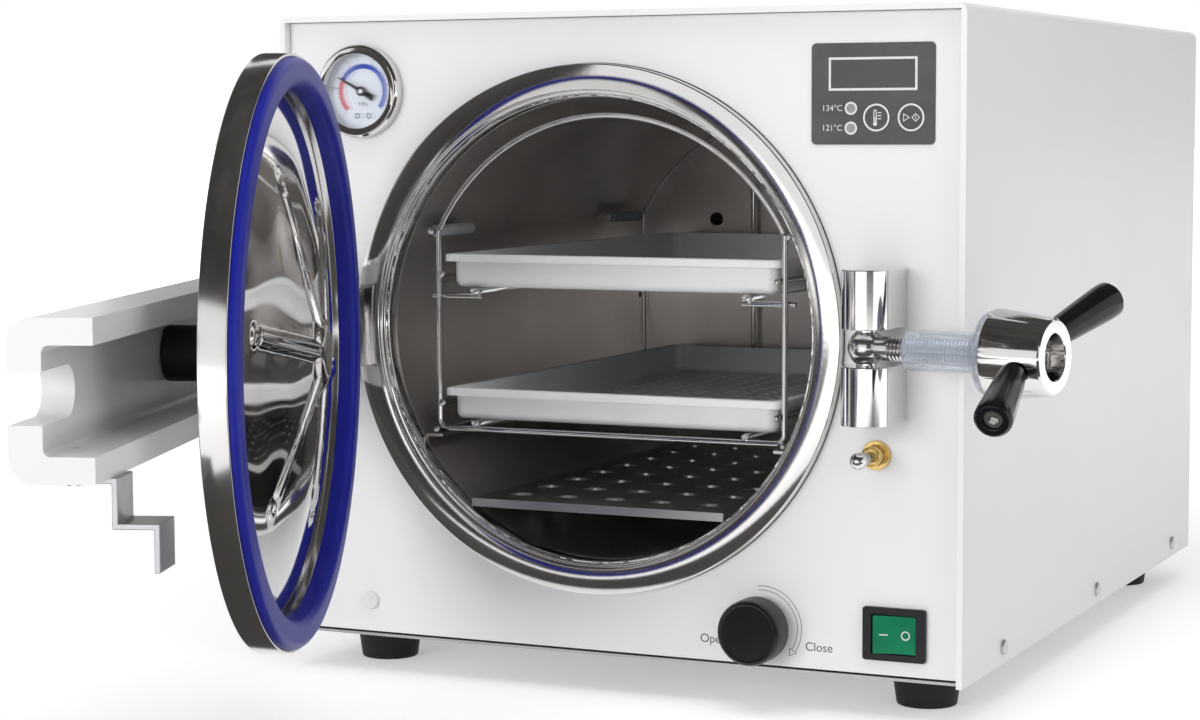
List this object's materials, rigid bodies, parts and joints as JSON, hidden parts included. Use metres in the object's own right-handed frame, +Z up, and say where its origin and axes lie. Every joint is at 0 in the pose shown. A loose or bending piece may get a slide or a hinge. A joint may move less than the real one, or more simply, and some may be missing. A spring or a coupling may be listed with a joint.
{
  "type": "autoclave",
  "caption": "Bench-top steam autoclave with a side-hinged round lid on a slotted beam, a swing bolt clamp, a rack with sliding trays, a gauge, keys and a steam release knob.",
  "frame": {"origin": "middle of the outline on the bench, with the lid and the swing bolt open as they rest", "axes": "+X to the right seen from the front, +Y to the back, +Z up"},
  "size_m": [0.4736, 0.9323, 0.358],
  "materials": {
    "white_paint": "smooth satin",
    "cast_white": "satin",
    "polished_steel": "polished",
    "mirror_steel": "mirror",
    "brushed": "brushed",
    "dark_steel": "dark polished",
    "zinc_steel": "zinc plated",
    "tray_alloy": "matte",
    "silicone_blue": "satin",
    "black_rubber": "matte",
    "black_gloss": "gloss",
    "black_matte": "matte",
    "clear_bush": "translucent",
    "brass": "satin",
    "copper": "satin",
    "overlay_grey": "matte",
    "smoked": "smoked",
    "clear_glass": "clear",
    "dial_white": "printed",
    "lamp_red": "translucent",
    "key_grey": "matte",
    "rocker_green": "translucent",
    "plug_white": "satin",
    "grey_sleeve": "matte",
    "insulation": "woven",
    "board_green": "satin",
    "heater_silicone": "matte",
    "pointer_black": "satin"
  },
  "bodies": {
    "cabinet": {"outer_shell": "white_paint", "front_panel": "white_paint", "base_plate": "zinc_steel", "rear_panel": "white_paint", "chamber": "brushed", "mouth_ring": "polished_steel", "insulation_jacket": "insulation", "heater_band": "heater_silicone", "chamber_saddles": "zinc_steel", "latch_bracket": "polished_steel", "latch_pin": "polished_steel", "hinge_bracket": "polished_steel", "hinge_pin": "polished_steel", "interlock_bush": "brass", "interlock_switch": "black_matte", "gauge_case": "zinc_steel", "gauge_bezel": "polished_steel", "gauge_dial": "dial_white", "gauge_lens": "clear_glass", "control_overlay": "overlay_grey", "display_window": "smoked", "display_module": "black_matte", "indicator_lenses": "lamp_red", "control_board": "board_green", "rocker_frame": "black_matte", "exhaust_valve": "brass", "steam_pipe": "copper", "gauge_pipe": "copper", "drain_nozzle": "brass", "safety_valve": "brass", "power_inlet": "black_matte", "fuse_holders": "black_matte", "feet": "black_rubber", "case_screws": "zinc_steel", "panel_plug": "plug_white"},
    "door": {"door_beam": "cast_white", "lid_rim": "polished_steel", "lid_pan": "mirror_steel", "lid_gasket": "silicone_blue", "lid_hub": "black_matte", "striker": "zinc_steel", "door_fasteners": "polished_steel"},
    "bolt": {"swing_bolt": "polished_steel"},
    "clamp_bush": {"thrust_bush": "clear_bush"},
    "clamp_handle": {"clamp_hub": "polished_steel", "handle_studs": "zinc_steel", "grips": "black_gloss", "grip_screws": "zinc_steel"},
    "plunger": {"interlock_plunger": "polished_steel"},
    "needle": {"gauge_needle": "pointer_black"},
    "mode_key": {"key_mode": "key_grey"},
    "start_key": {"key_start": "key_grey"},
    "mains_rocker": {"rocker": "rocker_green"},
    "steam_knob": {"release_knob": "black_gloss"},
    "valve_pull": {"safety_pull": "zinc_steel"},
    "rack": {"tray_rack": "polished_steel", "rack_sleeves": "grey_sleeve"},
    "tray_upper": {"upper_tray": "tray_alloy"},
    "tray_lower": {"lower_tray": "tray_alloy"},
    "shelf": {"shelf_plate": "dark_steel"}
  },
  "joints": [
    {"name": "door_hinge", "type": "hinge", "parent": "cabinet", "child": "door", "pos_m": [-0.1958, -0.1231, 0.1892], "axis": [0, 0, -1], "range_deg": [-70.8, 29.2]},
    {"name": "bolt_swing", "type": "hinge", "parent": "cabinet", "child": "bolt", "pos_m": [0.1195, -0.0991, 0.1902], "axis": [0, 0, 1], "range_deg": [-79.8, 8]},
    {"name": "bush_slide", "type": "slide", "parent": "bolt", "child": "clamp_bush", "axis": [-0.9842, 0.1771, 0], "range_m": [-0.01001, 0.00241]},
    {"name": "handle_spin", "type": "hinge", "parent": "clamp_bush", "child": "clamp_handle", "pos_m": [0.1195, -0.0991, 0.1902], "axis": [-0.9842, 0.1771, 0], "range_deg": [-900, 216]},
    {"name": "plunger_press", "type": "slide", "parent": "cabinet", "child": "plunger", "axis": [0, 1, 0], "range_m": [0, 0.006], "stiffness_N_per_m": 400},
    {"name": "needle_turn", "type": "hinge", "parent": "cabinet", "child": "needle", "pos_m": [-0.1773, -0.0731, 0.3177], "axis": [0, 1, 0], "range_deg": [-90, 180]},
    {"name": "mode_key_press", "type": "slide", "parent": "cabinet", "child": "mode_key", "axis": [0, 1, 0], "range_m": [0, 0.0004], "stiffness_N_per_m": 1500},
    {"name": "start_key_press", "type": "slide", "parent": "cabinet", "child": "start_key", "axis": [0, 1, 0], "range_m": [0, 0.0004], "stiffness_N_per_m": 1500},
    {"name": "rocker_tip", "type": "hinge", "parent": "cabinet", "child": "mains_rocker", "pos_m": [0.1265, -0.0711, 0.0442], "axis": [0, 0, 1], "range_deg": [-14, 0]},
    {"name": "knob_turn", "type": "hinge", "parent": "cabinet", "child": "steam_knob", "pos_m": [0.0551, -0.0731, 0.0425], "axis": [0, -1, 0], "range_deg": [0, 270]},
    {"name": "valve_pull_slide", "type": "slide", "parent": "cabinet", "child": "valve_pull", "axis": [0, 1, 0], "range_m": [0, 0.004], "stiffness_N_per_m": 2000},
    {"name": "rack_slide", "type": "slide", "parent": "cabinet", "child": "rack", "axis": [0, -1, 0], "range_m": [0, 0.075]},
    {"name": "tray_upper_slide", "type": "slide", "parent": "rack", "child": "tray_upper", "axis": [0, -1, 0], "range_m": [0, 0.075]},
    {"name": "tray_lower_slide", "type": "slide", "parent": "rack", "child": "tray_lower", "axis": [0, -1, 0], "range_m": [0, 0.075]},
    {"name": "shelf_slide", "type": "slide", "parent": "cabinet", "child": "shelf", "axis": [0, -1, 0], "range_m": [0, 0.075]}
  ],
  "couplings": [
    {"joint": "bush_slide", "follows": "handle_spin", "m_per_rad": 0.00063662}
  ]
}
